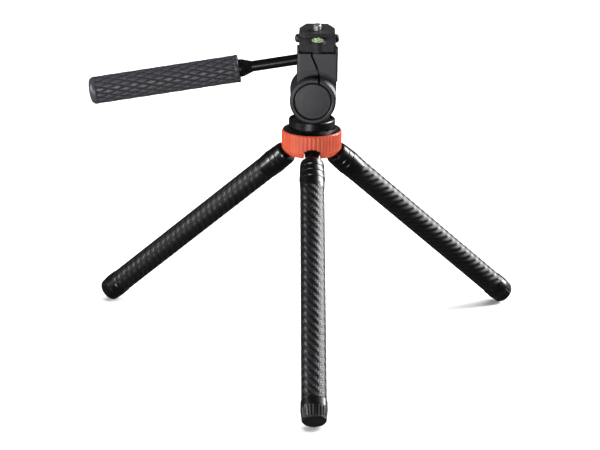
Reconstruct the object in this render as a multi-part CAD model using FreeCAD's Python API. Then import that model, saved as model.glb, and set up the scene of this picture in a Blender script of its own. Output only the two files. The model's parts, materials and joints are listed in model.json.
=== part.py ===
"""Tabletop tripod with a two-way pan head: three folding legs, pan and tilt, a twist-lock
handle, a side-flip platform and a quick-release plate with a 1/4 inch camera screw.

Millimetres, +Z up. The tripod stands on z = 0 with its legs spread. It is modelled about the
pan axis and then shifted so that the origin is the middle of its bounding box's bottom.
The camera looks along +X, and the handle points along -X.
"""
import FreeCAD, Part
import math
import os
from FreeCAD import Vector as V

# ---------------------------------------------------------------- driving dimensions
LEG_SPREAD = 49.31        # degrees between a spread leg and the vertical
LEG_LENGTH = 269.0        # from the pan axis to the foot's sole, along the leg
LEG_AZIMUTHS = {"front": -90.0, "right": 30.0, "left": 150.0}
PIVOT_RADIUS = 13.5       # hinge pin's distance from the pan axis
KNUCKLE_R = 6.0           # the eye round the hinge pin
NECK_R = 5.7
KNUCKLE_SLOT = 0.3        # clearance on each side of a knuckle
LEG_PIN_R = 2.0
LEG_PIN_HALF = 9.0
RUNNING_GAP = 0.05        # radial clearance of a shaft in its bore
NECK_END = 30.5           # stations along a leg, measured from the pan axis
PLUG_START = 34.5
TUBE_START = 44.0
SHOULDER_END = 49.0
SLEEVE_END = 57.0
TUBE_END = 251.5
FERRULE_END = 259.0
FOOT_END = 268.2
TUBE_R = 10.0
TUBE_BORE = 8.6
SOLE_R = 9.2
FOOT_FLUTES = 22

COLLAR_R = 25.0
COLLAR_BORE = 17.0
COLLAR_BOTTOM = 164.6
COLLAR_TOP = 185.0
COLLAR_SMOOTH_TOP = 171.5  # the grip ribs start here
COLLAR_CHAMFER = 4.6
COLLAR_RIBS = 42
NOTCH_HALF = 6.7          # arched notch over each leg's neck
NOTCH_SIDE = 171.6        # height of the notch's sides
NOTCH_TOP = 173.7
RIB_DEPTH = 0.6
HUB_BOTTOM = 165.4
BOLT_R = 3.0

PAN_BOTTOM = 187.7
PAN_TOP = 194.5
PAN_R = 19.3
NECK_HALF_X = 9.0
NECK_HALF_Y = 8.7

TILT_Z = 214.0
BARREL_R = 19.0           # the front ring
BARREL_BODY_R = 18.2      # the barrel behind the ring
BARREL_HALF = 22.5
RING_REAR = -17.5         # the front ring's rear edge, along Y
DRUM_R = 15.45
CAP_R = 15.0
GROOVE_CHAMFER = 0.7      # opens the groove round each drum cap
TILT_DOWN = 30.0          # handle lowered, degrees
TILT_UP = 70.0            # handle raised, degrees
BLOCK_LEFT = -12.9
BLOCK_RIGHT = 20.2
BLOCK_HALF_Y = 16.5
BLOCK_TOP = 252.6
STEP_Z = 229.5            # the right wall steps in below this height
STEP_DEPTH = 0.9
ARCH_R = 24.9             # arched recess in the left jaw
ARCH_REAR = -10.5
SLIT_HALF = 0.75          # half the clamp slit's width
SLIT_YAW = 5.0            # degrees that the slit is turned from square to the face

HANDLE_SLOPE = 9.4        # degrees below level, towards the grip
HANDLE_Z = 244.1          # axis height where it enters the block
SHAFT_R = 4.5
THREAD_R = 2.5            # M5 clamp screw on the handle's inner end
THREAD_END = 25.5
SOCKET_DEPTH = 3.0
NUT_CORNER_R = 4.62       # M5 nut, flats up so that it stays inside the block
NUT_NEAR = 20.0           # the nut's faces, along the handle into the block
NUT_FAR = 24.0
GRIP_START = 48.4         # distances along the handle from the block's face
GRIP_END = 167.2
HANDLE_END = 173.4
GRIP_R = 11.35

FLIP_Y = -13.0
FLIP_Z = 256.0
FLIP_PIN_R = 1.2
EAR_R = 2.0
FLIP_TIP = 11.5           # the platform is stored tipped this far to the front
PLATFORM_X = 3.4          # middle of the platform, from the pan axis
PLATFORM_HALF_X = 14.9
PLATFORM_BOTTOM = -2.93   # platform sizes are measured from the flip pin
PLATFORM_TOP = 4.97
PLATFORM_FRONT = -2.3
PLATFORM_REAR = 31.9
PLATE_FRONT = 9.6
PLATE_REAR = 31.6
PLATE_THICK = 4.0
SCREW_Y = 18.9            # camera screw, from the flip pin
SCREW_R = 3.175           # 1/4 inch
SCREW_OUT = 4.6           # how far its tip stands above the plate
SCREW_NOSE = 0.5
SCREW_NECK_R = 2.4        # undercut that keeps the screw in the plate
THREAD_START = 0.1        # the full thread starts this far above the plate
VIAL_Y = 3.6
VIAL_R = 5.6
BOSS_R = 6.7
BOSS_RELIEF_R = 4.6       # room in the block's top for the boss as the platform flips
BUTTON_R = 3.6
BUTTON_BORE_R = 3.7
BUTTON_STEM_R = 2.2
BUTTON_Z = 1.07           # height of the buttons, from the flip pin
BUTTON_TRAVEL = 1.5
BUTTON_SEAT = 2.2         # how far a head reaches into the platform at rest
SPRING_START = 5.8        # the springs' ends, from the platform's middle
SPRING_END = 9.4
SCREW_ACCESS_R = 5.2      # hole under the platform that reaches the screw's head

X, Y, Z = V(1, 0, 0), V(0, 1, 0), V(0, 0, 1)
ORIGIN = V(0, 0, 0)


# ---------------------------------------------------------------- small builders
def cyl(r, z0, z1, at=(0, 0)):
    return Part.makeCylinder(r, z1 - z0, V(at[0], at[1], z0), Z)


def rod(r, start, end):
    return Part.makeCylinder(r, (end - start).Length, start, end - start)


def box(x0, x1, y0, y1, z0, z1):
    return Part.makeBox(x1 - x0, y1 - y0, z1 - z0, V(x0, y0, z0))


def prism(points, direction):
    return Part.Face(Part.makePolygon(points + [points[0]])).extrude(direction)


def turned(profile, axis=Z, at=ORIGIN):
    """Solid of revolution about Z through at, from (radius, height) points."""
    points = [V(r, 0, h) for r, h in profile]
    face = Part.Face(Part.makePolygon(points + [points[0]]))
    solid = face.revolve(ORIGIN, Z, 360)
    if axis != Z:
        solid = solid.transformGeometry(FreeCAD.Placement(ORIGIN, FreeCAD.Rotation(Z, axis)).toMatrix())
    solid.translate(at)
    return solid


def ring(r_out, r_in, z0, z1, at=(0, 0)):
    return cyl(r_out, z0, z1, at).cut(cyl(r_in, z0 - 1, z1 + 1, at))


def placed(shape, axis, degrees, centre):
    moved = shape.copy()
    moved.rotate(centre, axis, degrees)
    return moved


def ribbed(r_crest, r_valley, count, z0, z1):
    """Prism whose outline is a ring of rounded ribs."""
    edges = []
    step = 2 * math.pi / count
    for i in range(count):
        a = i * step
        corner = [V(r_valley * math.cos(a + half), r_valley * math.sin(a + half), z0)
                  for half in (-step / 2, step / 2)]
        crest = V(r_crest * math.cos(a), r_crest * math.sin(a), z0)
        edges.append(Part.Arc(corner[0], crest, corner[1]).toShape())
    return Part.Face(Part.Wire(edges)).extrude(V(0, 0, z1 - z0))


def softened(shape, radius, chosen):
    """Round the straight edges that chosen(edge) picks."""
    edges = [e for e in shape.Edges if chosen(e)]
    return shape.makeFillet(radius, edges)


# ---------------------------------------------------------------- legs
SIN_LEG = math.sin(math.radians(LEG_SPREAD))
COS_LEG = math.cos(math.radians(LEG_SPREAD))
CROSS_Z = LEG_LENGTH * COS_LEG + SOLE_R * SIN_LEG   # where a leg's axis meets the pan axis
PIVOT_STATION = PIVOT_RADIUS / SIN_LEG
PIVOT_Z = CROSS_Z - PIVOT_STATION * COS_LEG


def leg_pieces():
    """The pieces of one leg, hanging down from the origin: station s is z = -s."""
    def turn(profile):
        return turned([(r, -s) for s, r in profile])

    pin_hole = Part.makeCylinder(LEG_PIN_R + RUNNING_GAP, 40, V(0, -20, -PIVOT_STATION), Y)
    eye = Part.makeCylinder(KNUCKLE_R, 2 * KNUCKLE_R, V(0, -KNUCKLE_R, -PIVOT_STATION), Y)
    neck = cyl(NECK_R, -PLUG_START, -PIVOT_STATION)
    plug = cyl(TUBE_BORE, -SHOULDER_END - 14, -PLUG_START)
    knuckle = eye.fuse(neck).fuse(plug).cut(pin_hole).removeSplitter()
    shoulder = turn([
        (NECK_END, NECK_R), (NECK_END, 8.8), (31.0, 9.3), (32.0, 9.75), (34.5, 10.1), (37.1, 10.2),
        (37.5, 9.85), (38.1, 10.25), (40.5, 10.4), (42.6, 10.4), (43.0, 10.1), (43.6, 10.45),
        (46.5, 10.65), (48.6, 10.65), (SHOULDER_END, 10.35), (SHOULDER_END, TUBE_R),
        (TUBE_START, TUBE_R), (TUBE_START, TUBE_BORE), (PLUG_START, TUBE_BORE), (PLUG_START, NECK_R), ])
    sleeve = turn([(SHOULDER_END, TUBE_R), (SHOULDER_END, 10.3), (SLEEVE_END - 3.0, 10.3),
                   (SLEEVE_END, TUBE_R + 0.1), (SLEEVE_END, TUBE_R), ])
    tube = turn([(TUBE_START, TUBE_BORE), (TUBE_START, TUBE_R), (TUBE_END + 4, TUBE_R),
                 (TUBE_END + 4, TUBE_BORE)])
    ferrule = turn([
        (TUBE_END, TUBE_R), (TUBE_END, 10.3), (TUBE_END + 0.6, 10.6), (FERRULE_END - 0.6, 10.65),
        (FERRULE_END, 10.4), (FERRULE_END, TUBE_BORE - 2), (TUBE_END - 8, TUBE_BORE - 2),
        (TUBE_END - 8, TUBE_BORE), (TUBE_END + 4, TUBE_BORE), (TUBE_END + 4, TUBE_R), ])
    band = ribbed(10.8, 10.45, FOOT_FLUTES, -FOOT_END, -FERRULE_END)
    taper = turn([(FERRULE_END, 0), (FERRULE_END, 10.5), (FERRULE_END + 0.5, 10.8), (FOOT_END, 9.8),
                  (FOOT_END, 0)])
    foot = band.common(taper).cut(cyl(7.5, -FOOT_END - 1, -FOOT_END + 3))
    stem = cyl(TUBE_BORE - 2, -FERRULE_END, -FERRULE_END + 10)
    foot = foot.fuse(stem).removeSplitter()
    sole = turn([(FOOT_END - 3, 0), (FOOT_END - 3, 7.5), (FOOT_END, 7.5), (FOOT_END, 9.7),
                 (LEG_LENGTH, SOLE_R), (LEG_LENGTH, 0)])
    return {"knuckle": knuckle, "shoulder": shoulder.fuse(sleeve).removeSplitter(), "tube": tube,
            "ferrule": ferrule, "foot_cap": foot, "foot_sole": sole}


def spread(shape, azimuth):
    """Swing a leg piece from hanging at the pan axis to its spread place."""
    moved = placed(shape, Y, -LEG_SPREAD, ORIGIN)
    moved.translate(V(0, 0, CROSS_Z))
    return placed(moved, Z, azimuth, ORIGIN)


def leg_slot(clearance, inner):
    """The room a knuckle and neck sweep from spread to folded, for a leg along +X."""
    r = KNUCKLE_R + clearance
    along = V(SIN_LEG, 0, -COS_LEG)
    pivot = V(PIVOT_RADIUS, 0, PIVOT_Z)
    eye = Part.makeCylinder(r, 2 * r, pivot - V(0, r, 0), Y)
    neck = rod(r, pivot, pivot + along * 40)
    far = pivot + along * 40
    low = 130.0
    side = [V(inner, -r, PIVOT_Z), pivot - V(0, r, 0), far - V(0, r, 0), V(far.x, -r, low),
            V(inner, -r, low)]
    return eye.fuse(neck).fuse(prism(side, V(0, 2 * r, 0)))


def notch_arch():
    """The collar's notch for a leg along +X: upright sides and a shallow arched top."""
    rise = NOTCH_TOP - NOTCH_SIDE
    left = V(COLLAR_BORE, -NOTCH_HALF, NOTCH_SIDE)
    right = V(COLLAR_BORE, NOTCH_HALF, NOTCH_SIDE)
    crown = Part.Arc(left, V(COLLAR_BORE, 0, NOTCH_SIDE + rise), right).toShape()
    low = COLLAR_BOTTOM - 1
    below = [right, V(COLLAR_BORE, NOTCH_HALF, low), V(COLLAR_BORE, -NOTCH_HALF, low), left]
    wire = Part.Wire([crown] + Part.makePolygon(below).Edges)
    return Part.Face(wire).extrude(V(COLLAR_R - COLLAR_BORE + 1, 0, 0))


# ---------------------------------------------------------------- hub, the fixed middle
def hub_pieces():
    core_screw_spots = [V(12.0 * math.cos(math.radians(a)), 12.0 * math.sin(math.radians(a)), 0)
                        for a in (90, 210, 330)]
    one_pin = Part.makeCylinder(LEG_PIN_R, 2 * LEG_PIN_HALF, V(PIVOT_RADIUS, -LEG_PIN_HALF, PIVOT_Z), Y)
    pins = [placed(one_pin, Z, azimuth, ORIGIN) for azimuth in LEG_AZIMUTHS.values()]
    slots = [placed(leg_slot(KNUCKLE_SLOT, 7.2), Z, azimuth, ORIGIN) for azimuth in LEG_AZIMUTHS.values()]
    notches = [placed(leg_slot(NOTCH_HALF - KNUCKLE_R, 7.0).fuse(notch_arch()), Z, azimuth, ORIGIN)
               for azimuth in LEG_AZIMUTHS.values()]

    screws = []
    for spot in core_screw_spots:
        head = cyl(2.75, HUB_BOTTOM + 0.6, HUB_BOTTOM + 3.4, (spot.x, spot.y))
        shank = cyl(1.5, HUB_BOTTOM + 3.4, COLLAR_TOP + 1.4, (spot.x, spot.y))
        socket = cyl(1.2, HUB_BOTTOM + 0.5, HUB_BOTTOM + 2.4, (spot.x, spot.y))
        screws.append(head.fuse(shank).cut(socket).removeSplitter())
    screw_room = [cyl(2.85, HUB_BOTTOM - 1, HUB_BOTTOM + 3.4, (s.x, s.y)) for s in core_screw_spots]
    screw_holes = [cyl(1.5, HUB_BOTTOM, COLLAR_TOP + 1.4, (s.x, s.y)) for s in core_screw_spots]

    core = cyl(COLLAR_BORE, HUB_BOTTOM, COLLAR_TOP)
    core = core.cut(cyl(BOLT_R + RUNNING_GAP, HUB_BOTTOM - 1, COLLAR_TOP + 1))
    core = core.cut(cyl(5.6, HUB_BOTTOM - 1, 173.4))
    for tool in slots + screw_room + screw_holes + pins:
        core = core.cut(tool)

    collar = ribbed(COLLAR_R, COLLAR_R - RIB_DEPTH, COLLAR_RIBS, COLLAR_SMOOTH_TOP, COLLAR_TOP)
    collar = collar.fuse(cyl(COLLAR_R - 0.15, COLLAR_BOTTOM, COLLAR_SMOOTH_TOP))
    envelope = turned([
        (0, COLLAR_BOTTOM), (COLLAR_R - COLLAR_CHAMFER, COLLAR_BOTTOM), (COLLAR_R - 0.9, 168.4),
        (COLLAR_R - 0.3, 169.4), (COLLAR_R, 170.6), (COLLAR_R, COLLAR_TOP - 1.4),
        (COLLAR_R - 0.5, COLLAR_TOP - 0.5), (COLLAR_R - 1.2, COLLAR_TOP), (0, COLLAR_TOP), ])
    collar = collar.common(envelope).cut(cyl(COLLAR_BORE, 160, 190))
    for notch in notches:
        collar = collar.cut(notch)
    for azimuth in LEG_AZIMUTHS.values():
        # the pin's ends reach into the collar, which slides up over them
        groove = box(PIVOT_RADIUS - LEG_PIN_R, PIVOT_RADIUS + LEG_PIN_R, -LEG_PIN_HALF, LEG_PIN_HALF,
                     COLLAR_BOTTOM - 1, PIVOT_Z)
        collar = collar.cut(placed(one_pin.fuse(groove), Z, azimuth, ORIGIN))

    flange = turned([(BOLT_R + RUNNING_GAP, COLLAR_TOP), (23.6, COLLAR_TOP), (23.9, COLLAR_TOP + 0.35),
                     (21.6, COLLAR_TOP + 1.1), (19.9, COLLAR_TOP + 2.3), (16.0, COLLAR_TOP + 2.3),
                     (16.0, COLLAR_TOP + 1.8), (BOLT_R + RUNNING_GAP, COLLAR_TOP + 1.8)])
    for hole in screw_holes:
        flange = flange.cut(hole)
    washer = ring(15.8, BOLT_R + 2, COLLAR_TOP + 1.8, PAN_BOTTOM)
    plug = cyl(5.6, HUB_BOTTOM, HUB_BOTTOM + 1.2)
    return {"hub_core": core, "hub_collar": collar, "hub_flange": flange, "hub_plug": plug,
            "friction_washer": washer, "leg_hinge_pins": Part.makeCompound(pins),
            "hub_screws": Part.makeCompound(screws)}


# ---------------------------------------------------------------- pan base and tilt drum
def pan_pieces():
    screw_spots = [(-6.3, 0), (6.3, 0)]
    disc = turned([(0, PAN_BOTTOM), (PAN_R - 0.5, PAN_BOTTOM), (PAN_R, PAN_BOTTOM + 0.6),
                   (PAN_R, PAN_TOP - 0.7), (PAN_R - 0.6, PAN_TOP), (PAN_R - 1.8, PAN_TOP),
                   (PAN_R - 2.6, PAN_TOP - 1.1),
                   (0, PAN_TOP - 1.1)])
    disc = disc.cut(cyl(BOLT_R, 180, 200))
    drum = Part.makeCylinder(DRUM_R, 2 * 19.0, V(0, -19.0, TILT_Z), Y)
    neck = box(-NECK_HALF_X, NECK_HALF_X, -NECK_HALF_Y, NECK_HALF_Y, PAN_TOP - 1.1, TILT_Z)
    drum = drum.fuse(neck).removeSplitter()
    drum = drum.cut(Part.makeCylinder(5.0, 60, V(0, -30, TILT_Z), Y))
    drum = drum.cut(cyl(BOLT_R, 180, 204))
    screws = []
    for spot in screw_spots:
        head = cyl(2.4, PAN_BOTTOM + 0.3, PAN_BOTTOM + 2.3, spot)
        shank = cyl(1.25, PAN_BOTTOM + 2.3, PAN_TOP + 5.5, spot)
        screws.append(head.fuse(shank).removeSplitter())
        disc = disc.cut(cyl(2.5, 180, PAN_BOTTOM + 2.3, spot)).cut(cyl(1.25, 180, 200, spot))
        drum = drum.cut(cyl(1.25, 180, PAN_TOP + 5.5, spot))

    cap_profile = [(0, 19.0), (CAP_R, 19.0), (CAP_R, 21.6), (CAP_R - 0.7, 22.2), (CAP_R - 2.6, 22.25),
                   (9.0, 22.4), (4.0, 22.48), (0, 22.5)]
    stem = cyl(4.98, 12.0, 19.0)
    cap = turned(cap_profile).fuse(stem).removeSplitter()
    rear_cap = lying(cap, -90)
    front_cap = lying(cap, 90)

    bolt = cyl(5.0, 167.4, 171.2).fuse(cyl(BOLT_R, 171.2, 203.0))
    hexagon = [V(2.3 * math.cos(math.radians(a)), 2.3 * math.sin(math.radians(a)), 167.0)
               for a in range(0, 360, 60)]
    bolt = bolt.removeSplitter().cut(prism(hexagon, V(0, 0, 2.6)))
    spring = turned([(3.3, 171.2), (5.0, 171.2), (5.3, 172.0), (5.3, 173.4), (4.2, 173.4), (3.3, 172.0)])
    return {"pan_disc": disc, "tilt_drum": drum, "drum_cap_front": front_cap, "drum_cap_rear": rear_cap,
            "pan_bolt": bolt, "pan_spring_washer": spring, "neck_screws": Part.makeCompound(screws)}


# ---------------------------------------------------------------- tilt housing
def clamp_slit():
    """The clamp's slit: slanting at the top, upright and wider through the front ring."""
    w = SLIT_HALF
    front = -BARREL_HALF - 1
    inside_bore = TILT_Z + 8
    outline = [(-2.9 - w, BLOCK_TOP + 12), (-2.9 + w, BLOCK_TOP + 12), (-1.8 + w, BLOCK_TOP - 2),
               (2.1 + w, 242.0), (4.2 + w, 235.0), (4.8 + w, 232.0), (4.9 + w, inside_bore),
               (4.6 - w, inside_bore), (4.5 - w, 232.0), (3.8 - w, 235.0), (2.1 - w, 242.0),
               (-1.8 - w, BLOCK_TOP - 2)]
    through = V(math.tan(math.radians(SLIT_YAW)), 1, 0) * 60
    return prism([V(x, front, z) for x, z in outline], through)


def handle_frame():
    """Rotation and start of the handle: local +Z runs out along the handle, towards the grip."""
    slope = math.radians(HANDLE_SLOPE)
    out = V(-math.cos(slope), 0, -math.sin(slope))
    return FreeCAD.Placement(V(BLOCK_LEFT, 0, HANDLE_Z), FreeCAD.Rotation(Z, out))


def along_handle(shape):
    moved = shape.copy()
    moved.Placement = handle_frame().multiply(moved.Placement)
    return moved


def lying(shape, degrees):
    """A piece turned about Z, laid along the tilt axis."""
    moved = placed(shape, X, degrees, ORIGIN)
    moved.translate(V(0, 0, TILT_Z))
    return moved


def housing_barrel():
    barrel = turned([(0, -BARREL_HALF), (17.6, -BARREL_HALF), (18.6, -BARREL_HALF + 0.4),
                     (BARREL_R, -BARREL_HALF + 1.4), (BARREL_R, RING_REAR - 0.8),
                     (BARREL_BODY_R, RING_REAR), (BARREL_BODY_R, BARREL_HALF - 1.0),
                     (BARREL_BODY_R - 1.0, BARREL_HALF), (0, BARREL_HALF)])
    return lying(barrel, -90)


def housing_block():
    """The jaws above the barrel, with the right wall stepped in at its foot."""
    block = box(BLOCK_LEFT, BLOCK_RIGHT, -BLOCK_HALF_Y, BLOCK_HALF_Y, TILT_Z, BLOCK_TOP)
    block = softened(block, 1.6, lambda e: abs(e.tangentAt(e.FirstParameter).z) > 0.99)
    block = block.cut(box(BLOCK_LEFT - 1, -4, -30, 30, TILT_Z - 1, TILT_Z + 12))
    return block.cut(box(BLOCK_RIGHT - STEP_DEPTH, BLOCK_RIGHT + 2, -30, 30, TILT_Z - 1, STEP_Z))


def flip_ears():
    """The two thin ears that carry the flip pin, one on each side of the platform."""
    edge = PLATFORM_HALF_X + 0.15
    pieces = []
    for x0, x1 in ((BLOCK_LEFT, PLATFORM_X - edge), (PLATFORM_X + edge, BLOCK_RIGHT)):
        outline = [V(x0, FLIP_Y - EAR_R, FLIP_Z), V(x0, FLIP_Y - 3.0, BLOCK_TOP - 1),
                   V(x0, FLIP_Y + 4.0, BLOCK_TOP - 1), V(x0, FLIP_Y + EAR_R, FLIP_Z)]
        pieces.append(Part.makeCylinder(EAR_R, x1 - x0, V(x0, FLIP_Y, FLIP_Z), X))
        pieces.append(prism(outline, V(x1 - x0, 0, 0)))
    return pieces


def ring_cove():
    """A cove that blends the right jaw's face down onto the front ring."""
    cove = turned([(17.0, 14.0), (17.0, 22.0), (18.6, 22.0), (19.2, 20.4), (20.4, 18.4), (22.2, 17.0),
                   (24.6, BLOCK_HALF_Y), (24.6, 14.0)])
    return lying(cove, 90).common(box(4.0, BLOCK_RIGHT - STEP_DEPTH, -30, 0, TILT_Z + 2, BLOCK_TOP))


def arch_recess():
    """The arched recess in the left jaw's face, above the front ring."""
    arch = Part.makeCylinder(ARCH_R, 30, V(0, ARCH_REAR, TILT_Z), V(0, -1, 0))
    arch = arch.cut(Part.makeCylinder(BARREL_BODY_R, 40, V(0, -5, TILT_Z), V(0, -1, 0)))
    return arch.common(box(-30, 4.2, -BLOCK_HALF_Y - 0.5, ARCH_REAR, TILT_Z, BLOCK_TOP))


def neck_room():
    """Room for the fixed neck, over the whole tilt range."""
    edge = math.degrees(math.asin((NECK_HALF_X + 0.3) / DRUM_R)) + 2.0
    start, stop = -90.0 - edge - TILT_DOWN, -90.0 + edge + TILT_UP
    reach = 40.0
    half = NECK_HALF_Y + 0.5
    steps = 8
    fan = [V(0, -half, TILT_Z)]
    for i in range(steps + 1):
        a = math.radians(start + (stop - start) * i / steps)
        fan.append(V(reach * math.cos(a), -half, TILT_Z + reach * math.sin(a)))
    return prism(fan, V(0, 2 * half, 0))


def tilt_pieces():
    housing = housing_barrel()
    for solid in [housing_block()] + flip_ears() + [ring_cove()]:
        housing = housing.fuse(solid)
    bore_r = DRUM_R + RUNNING_GAP
    mouth = turned([(0, BARREL_HALF - GROOVE_CHAMFER), (bore_r, BARREL_HALF - GROOVE_CHAMFER),
                    (bore_r + GROOVE_CHAMFER, BARREL_HALF), (bore_r + GROOVE_CHAMFER, BARREL_HALF + 1),
                    (0, BARREL_HALF + 1)])
    relief_half = BOSS_R + 0.4
    relief = Part.makeCylinder(BOSS_RELIEF_R, 2 * relief_half, V(PLATFORM_X - relief_half, FLIP_Y, FLIP_Z), X)
    corners = [math.radians(a) for a in range(30, 390, 60)]
    nut_outline = [V(NUT_CORNER_R * math.cos(a), NUT_CORNER_R * math.sin(a), -NUT_FAR) for a in corners]
    nut = along_handle(prism(nut_outline, V(0, 0, NUT_FAR - NUT_NEAR)))
    pin = rod(FLIP_PIN_R, V(BLOCK_LEFT, FLIP_Y, FLIP_Z), V(BLOCK_RIGHT, FLIP_Y, FLIP_Z))
    cuts = [arch_recess(), Part.makeCylinder(bore_r, 60, V(0, -30, TILT_Z), Y), lying(mouth, 90),
            lying(mouth, -90), neck_room(), clamp_slit(), relief,
            along_handle(cyl(SHAFT_R + 0.4, -SOCKET_DEPTH, 8)),
            along_handle(cyl(THREAD_R + 0.3, -THREAD_END - 1.5, 1)),
            nut, pin]
    for tool in cuts:
        housing = housing.cut(tool)
    nut = nut.cut(along_handle(cyl(THREAD_R + RUNNING_GAP, -40, 0)))
    washer = along_handle(ring(4.7, THREAD_R + 0.3, -SOCKET_DEPTH, -SOCKET_DEPTH + 0.8))
    return {"tilt_housing": housing.removeSplitter(), "clamp_nut": nut, "flip_pin": pin,
            "thrust_washer": washer}


# ---------------------------------------------------------------- handle
def handle_pieces():
    shaft = cyl(SHAFT_R, -SOCKET_DEPTH + 0.8, GRIP_END - 60).fuse(cyl(THREAD_R, -THREAD_END, 0))
    ferrule = turned([(SHAFT_R, 37.8), (4.8, 37.8), (5.3, 39.8), (6.3, 42.4), (7.1, 45.0), (7.4, 47.0),
                      (7.4, GRIP_START), (SHAFT_R, GRIP_START)])
    grip = turned([(SHAFT_R, GRIP_START), (11.2, GRIP_START), (11.6, GRIP_START + 0.4),
                   (11.6, GRIP_START + 2.6), (GRIP_R, GRIP_START + 3.0), (GRIP_R, GRIP_END),
                   (SHAFT_R, GRIP_END)])
    cap = turned([(0, GRIP_END - 20), (SHAFT_R, GRIP_END - 20), (SHAFT_R, GRIP_END), (11.2, GRIP_END),
                  (11.5, GRIP_END + 0.5), (11.3, GRIP_END + 2.4), (10.4, GRIP_END + 4.2),
                  (8.8, GRIP_END + 5.3), (6.0, GRIP_END + 5.9), (0, HANDLE_END)])
    return {"handle_shaft": along_handle(shaft.removeSplitter()), "handle_ferrule": along_handle(ferrule),
            "handle_grip": along_handle(grip), "grip_end_cap": along_handle(cap)}


# ---------------------------------------------------------------- platform, plate and screw
def octagon(x_half, y0, y1, front_cut, rear_cut, z0, z1):
    fx, fy = front_cut
    rx, ry = rear_cut
    outline = [(-x_half + fx, y0), (x_half - fx, y0), (x_half, y0 + fy), (x_half, y1 - ry),
               (x_half - rx, y1), (-x_half + rx, y1), (-x_half, y1 - ry), (-x_half, y0 + fy)]
    return prism([V(px, py, z0) for px, py in outline], V(0, 0, z1 - z0))


def on_platform(shape):
    """From the platform's own level frame, at the flip pin, to its stored, tipped place."""
    moved = placed(shape, X, FLIP_TIP, ORIGIN)
    moved.translate(V(PLATFORM_X, FLIP_Y, FLIP_Z))
    return moved


def platform_pieces():
    bottom, top = PLATFORM_BOTTOM, PLATFORM_TOP
    body = octagon(PLATFORM_HALF_X, PLATFORM_FRONT, PLATFORM_REAR, (1.6, 1.0), (5.3, 8.0), bottom, top)
    # round the lower front edge about the flip pin, so that it clears the block as it turns
    corner = box(-30, 30, -10, 0, bottom - 1, 0).cut(Part.makeCylinder(-bottom, 60, V(-30, 0, 0), X))
    body = body.cut(corner)
    # the half-round boss under the bubble stops short of the plate
    boss = cyl(BOSS_R, bottom, top + 0.4, (0, VIAL_Y)).common(box(-10, 10, -10, PLATE_FRONT - 0.3, -10, 10))
    body = body.fuse(boss)
    cuts = [Part.makeCylinder(FLIP_PIN_R + RUNNING_GAP, 60, V(-30, 0, 0), X),
            cyl(VIAL_R, top - 1.8, top + 2, (0, VIAL_Y)),
            cyl(SCREW_ACCESS_R, bottom - 1, bottom + 3.2, (0, SCREW_Y)),
            cyl(4.2, bottom - 1, top + 1, (0, SCREW_Y))]
    head_room = PLATFORM_HALF_X - BUTTON_SEAT - BUTTON_TRAVEL - 0.3
    for side in (-1, 1):
        out = V(side, 0, 0)
        for radius, start in ((BUTTON_STEM_R + 0.1, SPRING_START), (BUTTON_BORE_R, head_room)):
            cuts.append(Part.makeCylinder(radius, 20, V(side * start, SCREW_Y, BUTTON_Z), out))
    for tool in cuts:
        body = body.cut(tool)
    wall = VIAL_R - 0.7
    cup = ring(VIAL_R, wall, top - 1.8, top + 1.2, (0, VIAL_Y)).fuse(
        cyl(VIAL_R, top - 1.8, top - 1.3, (0, VIAL_Y))).removeSplitter()
    bubble = cyl(1.9, top, top + 0.6, (0.4, VIAL_Y + 0.6))
    fluid = cyl(wall, top - 1.3, top + 0.6, (0, VIAL_Y)).cut(bubble)
    glass = turned([(0, top + 0.6), (wall, top + 0.6), (wall, top + 1.2), (3.2, top + 1.6), (0, top + 1.7)])
    glass.translate(V(0, VIAL_Y, 0))
    return {"platform": on_platform(body.removeSplitter()), "level_cup": on_platform(cup),
            "level_fluid": on_platform(fluid), "level_bubble": on_platform(bubble),
            "level_glass": on_platform(glass)}


def plate_pieces():
    base, top = PLATFORM_TOP, PLATFORM_TOP + PLATE_THICK
    pad_z = top - 1.0
    middle = (0, SCREW_Y)
    corners = ((5.0, 4.0), (5.3, 8.0))
    plate = octagon(PLATFORM_HALF_X - 0.2, PLATE_FRONT, PLATE_REAR, *corners, base, pad_z)
    pad = octagon(PLATFORM_HALF_X - 0.9, PLATE_FRONT + 0.7, PLATE_REAR - 0.7, *corners, pad_z, top)
    plate = plate.cut(cyl(SCREW_R + RUNNING_GAP, -20, 20, middle))
    plate = plate.cut(cyl(4.0, base - 1, base + 1.2, middle))
    pad = pad.cut(cyl(4.4, -20, 20, middle))
    # the captive screw: head, undercut neck through the plate, and full thread above it
    head_top = base - 1.0
    thread_end = top + SCREW_OUT - SCREW_NOSE
    head = cyl(3.9, head_top - 3.6, head_top, middle)
    neck = cyl(SCREW_NECK_R, head_top, top + THREAD_START, middle)
    thread = cyl(SCREW_R, top + THREAD_START, thread_end, middle)
    nose = turned([(0, 0), (SCREW_R, 0), (SCREW_R - SCREW_NOSE, SCREW_NOSE), (0, SCREW_NOSE)])
    nose.translate(V(0, SCREW_Y, thread_end))
    coin_slot = box(-5, 5, SCREW_Y - 0.6, SCREW_Y + 0.6, head_top - 4, head_top - 2.2)
    screw = head.fuse(neck).fuse(thread).fuse(nose).removeSplitter().cut(coin_slot)
    clip = ring(3.9, SCREW_NECK_R + RUNNING_GAP, base, base + 1.0, middle)
    return {"quick_plate": on_platform(plate), "plate_pad": on_platform(pad),
            "camera_screw": on_platform(screw), "screw_clip": on_platform(clip)}


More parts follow.
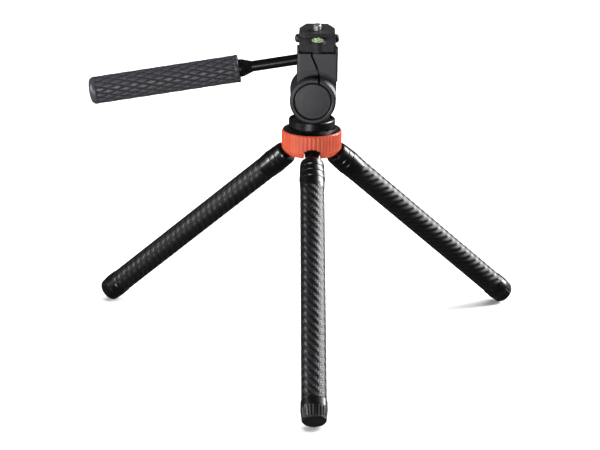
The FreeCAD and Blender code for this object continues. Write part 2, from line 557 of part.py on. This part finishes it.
def button_pieces():
    """Release buttons, one on each side: domed head, stem and coil spring stand-in."""
    face = PLATFORM_HALF_X
    seat = face - BUTTON_SEAT
    profile = [(0, SPRING_END), (BUTTON_STEM_R, SPRING_END), (BUTTON_STEM_R, seat), (BUTTON_R, seat),
               (BUTTON_R, face + 1.3), (3.45, face + 1.9), (3.0, face + 2.6), (2.2, face + 3.1),
               (1.2, face + 3.38), (0, face + 3.45)]
    button = turned(profile)
    spring = ring(BUTTON_STEM_R, 1.5, SPRING_START, SPRING_END)
    pieces = {}
    for name, side in (("left", -1), ("right", 1)):
        for key, shape in (("release_button_", button), ("button_spring_", spring)):
            sideways = placed(shape, Y, 90 * side, ORIGIN)
            sideways.translate(V(0, SCREW_Y, BUTTON_Z))
            pieces[key + name] = on_platform(sideways)
    return pieces


def main():
    os.makedirs("parts", exist_ok=True)
    pieces = {}
    pieces.update(hub_pieces())
    for name, azimuth in LEG_AZIMUTHS.items():
        for key, shape in leg_pieces().items():
            pieces["leg_%s_%s" % (name, key)] = spread(shape, azimuth)
    pieces.update(pan_pieces())
    pieces.update(tilt_pieces())
    pieces.update(handle_pieces())
    pieces.update(platform_pieces())
    pieces.update(plate_pieces())
    pieces.update(button_pieces())
    whole = Part.makeCompound(list(pieces.values())).optimalBoundingBox(False, False)
    shift = V(-(whole.XMin + whole.XMax) / 2, -(whole.YMin + whole.YMax) / 2, 0)
    for name, shape in pieces.items():
        shape.translate(shift)
        shape.exportStep("parts/%s.step" % name)
        print("%-22s %d solid(s) %9.1f mm3 %s" % (name, len(shape.Solids), shape.Volume, shape.isValid()))
    print("pieces", len(pieces))
    print("pan axis at x = %.4f, y = %.4f; lowest point %.4f, top %.4f"
          % (shift.x, shift.y, whole.ZMin, whole.ZMax))
    print("box", [round(v, 3) for v in (whole.XLength, whole.YLength, whole.ZLength)])


main()
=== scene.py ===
import json
import math

import bmesh
import bpy
from mathutils import Matrix, Vector


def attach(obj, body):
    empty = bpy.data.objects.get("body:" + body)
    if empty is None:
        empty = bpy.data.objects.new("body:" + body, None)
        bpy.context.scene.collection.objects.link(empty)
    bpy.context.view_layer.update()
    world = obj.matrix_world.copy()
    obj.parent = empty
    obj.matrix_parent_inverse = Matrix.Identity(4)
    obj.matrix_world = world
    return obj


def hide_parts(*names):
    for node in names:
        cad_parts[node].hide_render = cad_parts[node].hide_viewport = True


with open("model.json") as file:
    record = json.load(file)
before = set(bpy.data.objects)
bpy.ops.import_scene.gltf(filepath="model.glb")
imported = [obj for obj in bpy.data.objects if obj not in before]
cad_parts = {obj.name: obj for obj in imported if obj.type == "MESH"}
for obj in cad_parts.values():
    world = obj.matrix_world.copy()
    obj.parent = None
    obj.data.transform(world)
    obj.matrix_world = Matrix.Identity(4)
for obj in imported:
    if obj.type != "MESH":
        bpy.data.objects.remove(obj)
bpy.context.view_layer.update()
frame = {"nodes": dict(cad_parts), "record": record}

MM = 0.001
nodes = frame["nodes"]
joints = {j["name"]: j for j in frame["record"]["behaviour"]["joints"]}
LEGS = ("front", "right", "left")

# ---------------------------------------------------------------- places read from the frame
PAN_AXIS = Vector(joints["pan"]["pos_m"])
TILT_AXIS = Vector(joints["tilt"]["pos_m"])
HANDLE_FACE = Vector(joints["handle_twist"]["pos_m"])
HANDLE_OUT = Vector(joints["handle_twist"]["axis"]).normalized()

# ---------------------------------------------------------------- camera
VIEW_AZIMUTH = math.radians(-1.14)
VIEW_ELEVATION = math.radians(17.5)
VIEW_ROLL = math.radians(0.74)
VIEW_DISTANCE = 1.9385
VIEW_LENS = 138.2
LOOK_LEFT = 0.00879       # the view's middle is this far left of the pan axis
LOOK_HEIGHT = 0.10117


def make_camera():
    """A long lens a little above the head, looking down at the whole tripod."""
    right = Vector((math.cos(VIEW_AZIMUTH), math.sin(VIEW_AZIMUTH), 0))
    back = Vector((math.sin(VIEW_AZIMUTH) * math.cos(VIEW_ELEVATION),
                   -math.cos(VIEW_AZIMUTH) * math.cos(VIEW_ELEVATION), math.sin(VIEW_ELEVATION)))
    target = Vector((PAN_AXIS.x, PAN_AXIS.y, LOOK_HEIGHT)) - right * LOOK_LEFT
    data = bpy.data.cameras.new("camera")
    data.lens = VIEW_LENS
    data.sensor_width = 36
    data.clip_start = 0.05
    data.clip_end = 50
    camera = bpy.data.objects.new("camera", data)
    camera.rotation_mode = "QUATERNION"
    camera.location = target + back * VIEW_DISTANCE
    turn = (-back).to_track_quat("-Z", "Y").to_matrix() @ Matrix.Rotation(VIEW_ROLL, 3, "Z")
    camera.rotation_quaternion = turn.to_quaternion()
    bpy.context.collection.objects.link(camera)
    bpy.context.scene.camera = camera


make_camera()


# ---------------------------------------------------------------- pattern sizes, in millimetres
TUBE_RADIUS = 10.0
TWILL_BANDS = 6            # bands that wind round the tube side by side
TWILL_PITCH = 6.8
TWILL_RELIEF = 0.24
TOW_WIDTH = TWILL_PITCH / 4
GRIP_START = 48.4          # along the handle, from the block's face
GRIP_STOP = 167.2
GRIP_RADIUS = 11.35
GRIP_MAX_RADIUS = 11.6     # the flange at the grip's inner end
GRIP_BORE = 5.0
GRIP_STEP = 0.6
LOZENGE_LENGTH = 14.4
LOZENGES_AROUND = 14
SIDES_PER_LOZENGE = 14
GROOVE_DEPTH = 0.9
SCALE_TILT = 0.12          # how far one end of a scale stands above the other
GROOVE_SHARE = 0.24        # half of a groove's width, as a share of the pitch


# ---------------------------------------------------------------- node helpers
class Graph:
    """A small wrapper that keeps node code short."""

    def __init__(self, name):
        self.material = bpy.data.materials.new(name)
        self.material.use_nodes = True
        self.tree = self.material.node_tree
        self.tree.nodes.clear()
        self.shader = self.add("ShaderNodeBsdfPrincipled")
        self.out = self.add("ShaderNodeOutputMaterial")
        self.link(self.shader.outputs["BSDF"], self.out.inputs["Surface"])

    def add(self, kind, **settings):
        node = self.tree.nodes.new(kind)
        for key, value in settings.items():
            setattr(node, key, value)
        return node

    def link(self, source, target):
        self.tree.links.new(source, target)

    def set(self, **values):
        for key, value in values.items():
            self.shader.inputs[key.replace("_", " ")].default_value = value

    def place(self):
        return self.add("ShaderNodeTexCoord").outputs["Object"]

    def noise(self, scale, detail=3.0, roughness=0.5, at=None):
        node = self.add("ShaderNodeTexNoise")
        node.inputs["Scale"].default_value = scale
        node.inputs["Detail"].default_value = detail
        node.inputs["Roughness"].default_value = roughness
        self.link(at or self.place(), node.inputs["Vector"])
        return node.outputs["Fac"]

    def math(self, operation, a, b=None, c=None, clamp=False):
        node = self.add("ShaderNodeMath", operation=operation, use_clamp=clamp)
        for socket, value in zip(node.inputs, (a, b, c)):
            if value is None:
                continue
            if isinstance(value, (int, float)):
                socket.default_value = value
            else:
                self.link(value, socket)
        return node.outputs[0]

    def remap(self, value, low, high, to_low, to_high):
        node = self.add("ShaderNodeMapRange")
        node.inputs["From Min"].default_value = low
        node.inputs["From Max"].default_value = high
        node.inputs["To Min"].default_value = to_low
        node.inputs["To Max"].default_value = to_high
        self.link(value, node.inputs["Value"])
        return node.outputs["Result"]

    def mix(self, factor, dark, light):
        node = self.add("ShaderNodeMix", data_type="RGBA")
        self.link(factor, node.inputs["Factor"])
        node.inputs[6].default_value = dark       # A and B of the colour sockets
        node.inputs[7].default_value = light
        return node.outputs[2]

    def color(self, socket):
        self.link(socket, self.shader.inputs["Base Color"])

    def roughness(self, socket):
        self.link(socket, self.shader.inputs["Roughness"])

    def bump(self, height, distance, edge=0.0):
        """Fine relief, over edges that are rounded by the given radius."""
        node = self.add("ShaderNodeBump")
        node.inputs["Distance"].default_value = distance
        self.link(height, node.inputs["Height"])
        if edge:
            rounding = self.add("ShaderNodeBevel", samples=4)
            rounding.inputs["Radius"].default_value = edge
            self.link(rounding.outputs["Normal"], node.inputs["Normal"])
        self.link(node.outputs["Normal"], self.shader.inputs["Normal"])

    def round_and_along(self):
        """Millimetres round and along a turned piece, from its UV map."""
        split = self.add("ShaderNodeSeparateXYZ")
        self.link(self.add("ShaderNodeUVMap", uv_map="millimetres").outputs["UV"], split.inputs[0])
        return split.outputs[0], split.outputs[1]

    def groove(self, phase, width):
        """1 in the grooves where phase is near a whole number, 0 away from them."""
        centred = self.math("SUBTRACT", self.math("FRACT", self.math("ADD", phase, 0.5)), 0.5)
        share = self.math("DIVIDE", self.math("ABSOLUTE", centred), width)
        return self.math("SUBTRACT", 1.0, share, clamp=True)


def rgb(r, g, b):
    """Linear colour from the 0-255 values that a screen shows."""
    return tuple(((v / 255) ** 2.2) for v in (r, g, b)) + (1.0,)


def moulded(name, dark, light, rough, grain=0.00004, grain_scale=2600.0, coat=0.0, edge=0.00035, clear=0.0):
    """Moulded or painted surface: faint mottling, uneven gloss, a fine grain and soft edges.

    grain and edge are in metres. clear is the share of light that passes through.
    """
    g = Graph(name)
    mottle = g.noise(60.0, 4.0)
    g.color(g.mix(g.remap(mottle, 0.3, 0.7, 0.0, 1.0), dark, light))
    wear = g.noise(220.0, 3.0)
    g.roughness(g.remap(wear, 0.3, 0.7, rough[0], rough[1]))
    g.bump(g.noise(grain_scale, 2.0), grain, edge)
    g.set(Coat_Weight=coat, Coat_Roughness=0.08, Transmission_Weight=clear)
    return g.material


def steel_like(name, dark, light, rough):
    """Turned or plated metal with fine scratches round it."""
    g = Graph(name)
    fine = g.noise(1500.0, 2.0)
    g.color(g.mix(fine, dark, light))
    g.roughness(g.remap(g.noise(400.0, 3.0), 0.3, 0.7, rough[0], rough[1]))
    g.bump(fine, 0.000004)
    g.set(Metallic=1.0)
    return g.material


def twill(name):
    """Lacquered twill: each tow passes over two and under two, so the weave climbs in slanting steps."""
    g = Graph(name)
    around, along = g.round_and_along()
    column = g.math("DIVIDE", around, TOW_WIDTH)
    row = g.math("DIVIDE", along, TOW_WIDTH)
    diagonal = g.math("ADD", g.math("FLOOR", column), g.math("FLOOR", row))
    over = g.math("LESS_THAN", g.math("FRACT", g.math("DIVIDE", diagonal, 4.0)), 0.49)
    under = g.math("SUBTRACT", 1.0, over)
    hoop = g.math("SINE", g.math("MULTIPLY", g.math("FRACT", row), math.pi))
    length = g.math("SINE", g.math("MULTIPLY", g.math("FRACT", column), math.pi))
    tow = g.math("ADD", g.math("MULTIPLY", over, hoop), g.math("MULTIPLY", under, length))
    # Over tows are painted lighter than under tows: painted sheen for the fibres' different reflection,
    # times random tone from the noise.
    painted_tow_sheen = g.math("MULTIPLY_ADD", over, 0.75, 0.25)
    shade = g.math("MULTIPLY", painted_tow_sheen, g.remap(g.noise(900.0, 2.0), 0.3, 0.7, 0.6, 1.0))
    g.color(g.mix(shade, rgb(3, 3, 4), rgb(15, 16, 20)))
    g.roughness(g.remap(over, 0.0, 1.0, 0.45, 0.26))
    g.bump(tow, 0.00022)
    g.set(Coat_Weight=0.15, Coat_Roughness=0.25)
    return g.material


def lozenge_rubber(name):
    """Dark rubber whose crossing grooves are painted darker, as painted shade in the grooves, and are duller
    than the scales between them.
    """
    g = Graph(name)
    around, along = g.round_and_along()
    across = g.math("MULTIPLY", around, LOZENGES_AROUND / (2 * math.pi * GRIP_MAX_RADIUS))
    forward = g.math("DIVIDE", g.math("SUBTRACT", along, GRIP_START), LOZENGE_LENGTH)
    first = g.groove(g.math("ADD", forward, across), GROOVE_SHARE)
    second = g.groove(g.math("SUBTRACT", forward, across), GROOVE_SHARE)
    cut = g.math("MAXIMUM", first, second)
    # The grooves are painted near black against the scales' grey: painted shade in the grooves, times random
    # tone from the noise.
    shade = g.math("MULTIPLY", cut, g.remap(g.noise(300.0, 3.0), 0.3, 0.7, 0.75, 1.0))
    g.color(g.mix(shade, rgb(50, 50, 56), rgb(3, 3, 4)))
    g.roughness(g.remap(cut, 0.0, 1.0, 0.42, 0.7))
    g.bump(g.noise(2200.0, 2.0), 0.00004)
    return g.material


def make_materials():
    """One material for each slot name that the frame's sub-parts use."""
    made = {
        "grey_plastic": moulded("head_grey_plastic", rgb(27, 27, 30), rgb(34, 34, 38), (0.42, 0.5), 0.00002),
        "black_cast": moulded("black_casting", rgb(10, 10, 12), rgb(16, 16, 18), (0.28, 0.38), 0.00003,
                              1800.0),
        "gloss_black": moulded("gloss_black", rgb(7, 7, 9), rgb(12, 12, 14), (0.26, 0.34), 0.000001, 900.0,
                               coat=0.1, edge=0.0),
        "orange_plastic": moulded("collar_orange", rgb(158, 58, 33), rgb(172, 69, 42), (0.3, 0.4), 0.00002),
        "carbon_look": twill("carbon_look"),
        "grip_rubber": lozenge_rubber("grip_rubber"),
        "sole_rubber": moulded("sole_rubber", rgb(12, 12, 14), rgb(20, 20, 22), (0.55, 0.7), 0.00006),
        "pad_rubber": moulded("pad_rubber", rgb(20, 19, 20), rgb(28, 27, 28), (0.6, 0.75), 0.00012, 1400.0),
        "steel": steel_like("plain_steel", (0.42, 0.42, 0.43, 1), (0.6, 0.6, 0.61, 1), (0.22, 0.36)),
        "chrome": steel_like("bright_chrome", (0.72, 0.72, 0.73, 1), (0.86, 0.86, 0.87, 1), (0.34, 0.42)),
        "brass": steel_like("plain_brass", (0.55, 0.38, 0.14, 1), (0.72, 0.52, 0.22, 1), (0.2, 0.34)),
        "nylon": moulded("white_nylon", rgb(212, 210, 200), rgb(228, 226, 218), (0.4, 0.5)),
        "level_green": moulded("level_fluid", rgb(150, 190, 104), rgb(178, 210, 136), (0.1, 0.16), 0.000002),
        "level_clear": moulded("level_clear", rgb(216, 234, 204), rgb(232, 244, 224), (0.03, 0.07), 0.000002,
                               clear=0.9),
    }
    return made


materials = make_materials()
slots = {s["node"]: s["material_slot"] for s in frame["record"]["subparts"]}
for node, piece in nodes.items():
    piece.data.materials.clear()
    piece.data.materials.append(materials[slots[node]])


# ---------------------------------------------------------------- turned pieces with relief
def frame_along(start, out):
    """Matrix whose Z runs along out from start; its X is level."""
    z = Vector(out).normalized()
    x = Vector((0, 0, 1)).cross(z)
    x = x.normalized() if x.length > 1e-6 else Vector((1, 0, 0))
    y = z.cross(x)
    turn = Matrix((x, y, z)).transposed().to_4x4()
    return Matrix.Translation(start) @ turn


def turned(name, place, rows, around, relief=None, material=None):
    """Closed lathe piece. rows are (distance, radius) in millimetres along place's Z.

    relief(angle, distance) adds to the radius. The UV map holds millimetres round and along.
    """
    mesh = bpy.data.meshes.new(name)
    work = bmesh.new()
    uv = work.loops.layers.uv.new("millimetres")
    grid = []
    for distance, radius in rows:
        line = []
        for i in range(around):
            angle = 2 * math.pi * i / around
            r = radius + (relief(angle, distance) if relief else 0.0)
            point = Vector((r * math.cos(angle), r * math.sin(angle), distance)) * MM
            line.append(work.verts.new(place @ point))
        grid.append(line)
    girth = 2 * math.pi * max(r for _, r in rows)
    for j in range(len(rows) - 1):
        for i in range(around):
            k = (i + 1) % around
            face = work.faces.new((grid[j][i], grid[j][k], grid[j + 1][k], grid[j + 1][i]))
            face.smooth = True
            across = (i, i + 1, i + 1, i)
            along = (j, j, j + 1, j + 1)
            for loop, a, b in zip(face.loops, across, along):
                loop[uv].uv = (girth * a / around, rows[b][0])
    for line in (list(reversed(grid[0])), grid[-1]):
        work.faces.new(line)
    work.to_mesh(mesh)
    work.free()
    piece = bpy.data.objects.new(name, mesh)
    bpy.context.collection.objects.link(piece)
    mesh.materials.append(material)
    return piece


def finish_piece(piece, body, replaced):
    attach(piece, body)
    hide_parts(replaced)


def steps(start, end, size):
    """Even places from start to end, about size apart."""
    count = max(1, round((end - start) / size))
    return [start + (end - start) * i / count for i in range(count + 1)]


def smooth(x):
    """Goes from 0 to 1 with level ends while x goes from 0 to 1."""
    x = min(1.0, max(0.0, x))
    return x * x * (3 - 2 * x)


# ---------------------------------------------------------------- legs
LEG_SPREAD = math.radians(49.31)
PIVOT_OUT = 13.5                              # hinge pin, level distance from the pan axis
PIVOT_STATION = PIVOT_OUT / math.sin(LEG_SPREAD)
TUBE_START = 55.0          # under the shoulder's sleeve
TUBE_STOP = 253.0          # under the ferrule
TUBE_STEP = 0.9
TUBE_SIDES = 90


def leg_place(name):
    """Matrix of a leg: its Z runs down the leg, and distance 0 is on the pan axis."""
    joint = joints["leg_%s_fold" % name]
    sideways = Vector(joint["axis"]).normalized()
    outward = sideways.cross(Vector((0, 0, 1)))
    down = outward * math.sin(LEG_SPREAD) - Vector((0, 0, math.cos(LEG_SPREAD)))
    start = Vector(joint["pos_m"]) - down * PIVOT_STATION * MM
    return frame_along(start, down)


def twill_relief(angle, distance):
    """Rounded bands that wind round the tube, and fade out where it enters its neighbours."""
    phase = angle * TWILL_BANDS / (2 * math.pi) + distance / TWILL_PITCH
    fraction = phase - math.floor(phase)
    ripple = math.sin(math.pi * fraction) ** 0.7
    fade = smooth((distance - TUBE_START - 2) / 2) * smooth((TUBE_STOP - 3 - distance) / 2)
    return TWILL_RELIEF * (ripple - 0.6) * fade


def make_tubes():
    """The twill skin of each leg tube."""
    for name in LEGS:
        rows = [(s, TUBE_RADIUS) for s in steps(TUBE_START, TUBE_STOP, TUBE_STEP)]
        tube = turned("carbon_tube_" + name, leg_place(name), rows, TUBE_SIDES, twill_relief,
                      materials["carbon_look"])
        finish_piece(tube, "leg_" + name, "leg_%s_tube" % name)


# ---------------------------------------------------------------- foot caps
CAP_START = 259.0
CAP_STOP = 268.2
CAP_FLUTES = 22
CAP_WIDE = 10.8            # radius at the ferrule
CAP_TAPER = 0.95
PLUG_RADIUS = 7.55         # the hollow for the sole's plug
PLUG_DEPTH = 3.05
FLUTE_DEPTH = 0.5
SIDES_PER_FLUTE = 8


def flute_relief(angle, distance):
    """Narrow grooves along the cap, which run out just short of its ends."""
    phase = angle * CAP_FLUTES / (2 * math.pi)
    gap = abs(phase - round(phase))
    fade = smooth((distance - CAP_START - 0.3) / 0.4) * smooth((CAP_STOP - 0.2 - distance) / 0.4)
    return -FLUTE_DEPTH * (1 - smooth(gap / 0.3)) * fade


def make_foot_caps():
    """Fluted caps, tapered to the sole and hollowed out for the sole's plug."""
    for name in LEGS:
        rows = [(CAP_START, 7.0), (CAP_START, 10.5)]
        for s in steps(CAP_START + 0.3, CAP_STOP - 0.1, 0.35):
            rows.append((s, CAP_WIDE - CAP_TAPER * (s - CAP_START) / (CAP_STOP - CAP_START)))
        rows += [(CAP_STOP, 9.75), (CAP_STOP, PLUG_RADIUS), (CAP_STOP - PLUG_DEPTH, PLUG_RADIUS)]
        node = "leg_%s_foot_cap" % name
        cap = turned("fluted_cap_" + name, leg_place(name), rows, CAP_FLUTES * SIDES_PER_FLUTE, flute_relief,
                     materials[slots[node]])
        finish_piece(cap, "leg_" + name, node)


# ---------------------------------------------------------------- grip
def lozenge_relief(angle, distance):
    """Long diamond scales between two crossing families of grooves."""
    if distance < GRIP_START + 2.9 or distance > GRIP_STOP - 0.4:
        return 0.0
    across = angle * LOZENGES_AROUND / (2 * math.pi)
    along = (distance - GRIP_START) / LOZENGE_LENGTH
    depth = 0.0
    for phase in (along + across, along - across):
        gap = abs(phase - round(phase))
        depth = max(depth, 1 - smooth(gap / GROOVE_SHARE))
    first = along + across
    second = along - across
    slope = (first - math.floor(first)) - (second - math.floor(second))
    return -GROOVE_DEPTH * depth + SCALE_TILT * slope * (1 - depth)


def make_grip():
    """Rubber sleeve with a plain flange at its inner end."""
    rows = [(GRIP_START, GRIP_BORE), (GRIP_START, 10.9), (GRIP_START + 0.2, 11.4),
            (GRIP_START + 0.5, GRIP_MAX_RADIUS), (GRIP_START + 2.2, GRIP_MAX_RADIUS),
            (GRIP_START + 2.5, 11.5), (GRIP_START + 2.7, 11.2)]
    rows += [(h, GRIP_RADIUS) for h in steps(GRIP_START + 2.95, GRIP_STOP - 0.5, GRIP_STEP)]
    rows += [(GRIP_STOP - 0.2, 10.9), (GRIP_STOP, 10.7), (GRIP_STOP, GRIP_BORE)]
    place = frame_along(HANDLE_FACE, HANDLE_OUT)
    sides = LOZENGES_AROUND * SIDES_PER_LOZENGE
    grip = turned("grip_sleeve", place, rows, sides, lozenge_relief, materials["grip_rubber"])
    finish_piece(grip, "handle", "handle_grip")


make_tubes()
make_foot_caps()
make_grip()


# ---------------------------------------------------------------- studio
def make_studio():
    """A plain pale floor and a dim white surround."""
    floor_mesh = bpy.data.meshes.new("floor")
    half = 15.0
    corners = [(-half, -half, 0), (half, -half, 0), (half, half, 0), (-half, half, 0)]
    floor_mesh.from_pydata(corners, [], [(0, 1, 2, 3)])
    floor = bpy.data.objects.new("floor", floor_mesh)
    bpy.context.collection.objects.link(floor)
    floor.visible_glossy = False      # keeps the black pieces' reflections dark
    g = Graph("pale_floor")
    g.color(g.mix(g.noise(3.0, 2.0), (0.88, 0.88, 0.88, 1), (0.9, 0.9, 0.9, 1)))
    g.set(Roughness=0.9)
    floor_mesh.materials.append(g.material)
    world = bpy.data.worlds.new("studio")
    world.use_nodes = True
    sky = world.node_tree.nodes["Background"]
    sky.inputs["Color"].default_value = (1, 1, 1, 1)
    sky.inputs["Strength"].default_value = 0.07
    bpy.context.scene.world = world


def overhead(strength, spread):
    """A wide even light from above, which keeps the whole floor white."""
    data = bpy.data.lights.new("overhead", "SUN")
    data.energy = strength
    data.angle = math.radians(spread)
    lamp = bpy.data.objects.new("overhead", data)
    lamp.rotation_euler = (math.radians(-12), 0, 0)
    lamp.visible_glossy = False       # the shine comes from the softboxes alone
    bpy.context.collection.objects.link(lamp)


def softbox(name, way, far, width, height, power):
    """A rectangular light in the given direction from the object's middle."""
    data = bpy.data.lights.new(name, "AREA")
    data.shape = "RECTANGLE"
    data.size = width
    data.size_y = height
    data.energy = power
    middle = Vector((PAN_AXIS.x, PAN_AXIS.y - 0.05, 0.15))
    lamp = bpy.data.objects.new(name, data)
    lamp.location = middle + Vector(way).normalized() * far
    lamp.rotation_mode = "QUATERNION"
    lamp.rotation_quaternion = (middle - lamp.location).to_track_quat("-Z", "Y")
    bpy.context.collection.objects.link(lamp)


make_studio()
overhead(4.2, 60)
softbox("key_right", (0.82, 0.4, 0.4), 1.3, 0.5, 1.1, 40)
softbox("fill_left", (-0.93, -0.28, 0.22), 1.3, 0.3, 0.7, 15)
softbox("front_low", (-0.3, -0.95, 0.0), 1.2, 0.35, 0.25, 9)
bpy.context.scene.view_settings.view_transform = "Standard"
